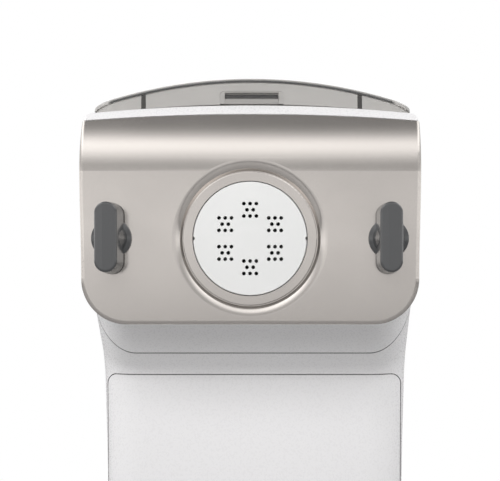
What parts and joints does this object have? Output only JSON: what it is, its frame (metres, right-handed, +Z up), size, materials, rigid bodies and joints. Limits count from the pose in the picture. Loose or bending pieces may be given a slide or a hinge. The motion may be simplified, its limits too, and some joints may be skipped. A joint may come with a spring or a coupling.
{
  "type": "electric pasta maker",
  "caption": "Countertop electric pasta maker with a clamped metal front panel, shaping disc, hinged smoked lid, mixing chamber, drive train and disc drawer.",
  "frame": {"origin": "on the floor under the middle of the overall box", "axes": "+Z up, -Y out of the front panel, +X to the viewer's right when facing the front"},
  "size_m": [0.215, 0.343, 0.3],
  "materials": {
    "white_gloss": "glossy white moulding",
    "panel_metal": "fine satin champagne-silver metal",
    "knob_grey": "dark grey moulding, satin gloss",
    "smoked_clear": "smoked clear moulding",
    "clear_basin": "clear grey moulding",
    "disc_white": "white food-grade moulding",
    "tube_grey": "grey moulding",
    "chassis_plastic": "dark chassis moulding",
    "gear_plastic": "natural nylon",
    "steel": "plain steel",
    "brass": "machined brass",
    "bronze": "oil-filled sintered bronze",
    "rubber": "soft black rubber",
    "seal_rubber": "grey food-grade rubber",
    "display_glass": "dark window",
    "board": "green laminate",
    "button_white": "satin white button",
    "laminations": "stacked steel laminations"
  },
  "bodies": {
    "root": {"front_housing": "white_gloss", "main_housing": "white_gloss", "side_panel_left": "white_gloss", "side_panel_right": "white_gloss", "rear_housing": "white_gloss", "rear_deck": "white_gloss", "rear_cover": "white_gloss", "rear_cover_screws": "steel", "base_plate": "chassis_plastic", "feet": "rubber", "base_screws": "steel", "front_plate": "steel", "panel_studs": "steel", "mixing_chamber": "clear_basin", "shaft_seal": "seal_rubber", "extrusion_tube": "tube_grey", "shaping_disc": "disc_white", "hinge_pins": "steel", "drawer_rails": "chassis_plastic", "chamber_cradle": "chassis_plastic", "gearbox_plate": "steel", "gearbox_cover": "chassis_plastic", "gearbox_case": "chassis_plastic", "shaft_bushes": "bronze", "motor_stator": "laminations", "motor_case": "steel", "motor_cradle": "chassis_plastic", "power_board": "board", "lid_switch": "chassis_plastic", "cord_bush": "rubber", "control_bezel": "tube_grey", "display_window": "display_glass", "control_board": "board"},
    "lid": {"lid_shell": "smoked_clear", "lid_latch": "smoked_clear"},
    "front_panel": {"front_fascia": "panel_metal", "panel_frame": "white_gloss"},
    "left_knob": {"knob_left": "knob_grey", "knob_insert_left": "brass"},
    "right_knob": {"knob_right": "knob_grey", "knob_insert_right": "brass"},
    "drawer": {"drawer_front": "white_gloss", "drawer_tray": "clear_basin"},
    "drive": {"output_shaft": "steel", "output_gear": "gear_plastic", "mixing_paddle": "tube_grey", "extrusion_screw": "disc_white"},
    "layshaft_drive": {"layshaft": "steel", "layshaft_gear": "gear_plastic"},
    "motor_drive": {"motor_shaft": "steel", "motor_rotor": "laminations", "motor_pinion": "steel", "cooling_fan": "chassis_plastic"},
    "power_button": {"button_power": "button_white"},
    "program_button": {"button_program": "button_white"},
    "start_button": {"button_start": "button_white"},
    "extrude_button": {"button_extrude": "button_white"}
  },
  "joints": [
    {"name": "lid_hinge", "type": "hinge", "parent": "root", "child": "lid", "pos_m": [0, 0.0735, 0.2875], "axis": [-1, 0, 0], "range_deg": [0, 85]},
    {"name": "panel_slide", "type": "slide", "parent": "root", "child": "front_panel", "axis": [0, -1, 0], "range_m": [0, 0.06]},
    {"name": "left_knob_turn", "type": "hinge", "parent": "front_panel", "child": "left_knob", "pos_m": [-0.0867, -0.15, 0.195], "axis": [0, -1, 0], "range_deg": [0, 810]},
    {"name": "right_knob_turn", "type": "hinge", "parent": "front_panel", "child": "right_knob", "pos_m": [0.0867, -0.15, 0.195], "axis": [0, -1, 0], "range_deg": [0, 810]},
    {"name": "drawer_slide", "type": "slide", "parent": "root", "child": "drawer", "axis": [0, -1, 0], "range_m": [0, 0.12]},
    {"name": "drive_turn", "type": "hinge", "parent": "root", "child": "drive", "pos_m": [0, 0, 0.195], "axis": [0, 1, 0], "continuous": true},
    {"name": "layshaft_turn", "type": "hinge", "parent": "root", "child": "layshaft_drive", "pos_m": [0, 0, 0.147], "axis": [0, 1, 0], "continuous": true},
    {"name": "motor_turn", "type": "hinge", "parent": "root", "child": "motor_drive", "pos_m": [0, 0, 0.099], "axis": [0, 1, 0], "continuous": true},
    {"name": "power_press", "type": "slide", "parent": "root", "child": "power_button", "axis": [-1, 0, 0], "range_m": [0, 0.001], "stiffness_N_per_m": 400, "springref_m": -0.0005},
    {"name": "program_press", "type": "slide", "parent": "root", "child": "program_button", "axis": [-1, 0, 0], "range_m": [0, 0.001], "stiffness_N_per_m": 400, "springref_m": -0.0005},
    {"name": "start_press", "type": "slide", "parent": "root", "child": "start_button", "axis": [-1, 0, 0], "range_m": [0, 0.001], "stiffness_N_per_m": 400, "springref_m": -0.0005},
    {"name": "extrude_press", "type": "slide", "parent": "root", "child": "extrude_button", "axis": [-1, 0, 0], "range_m": [0, 0.001], "stiffness_N_per_m": 400, "springref_m": -0.0005}
  ],
  "couplings": [
    {"joint": "layshaft_turn", "follows": "drive_turn", "ratio": -3.5714},
    {"joint": "motor_turn", "follows": "drive_turn", "ratio": 12.755}
  ]
}
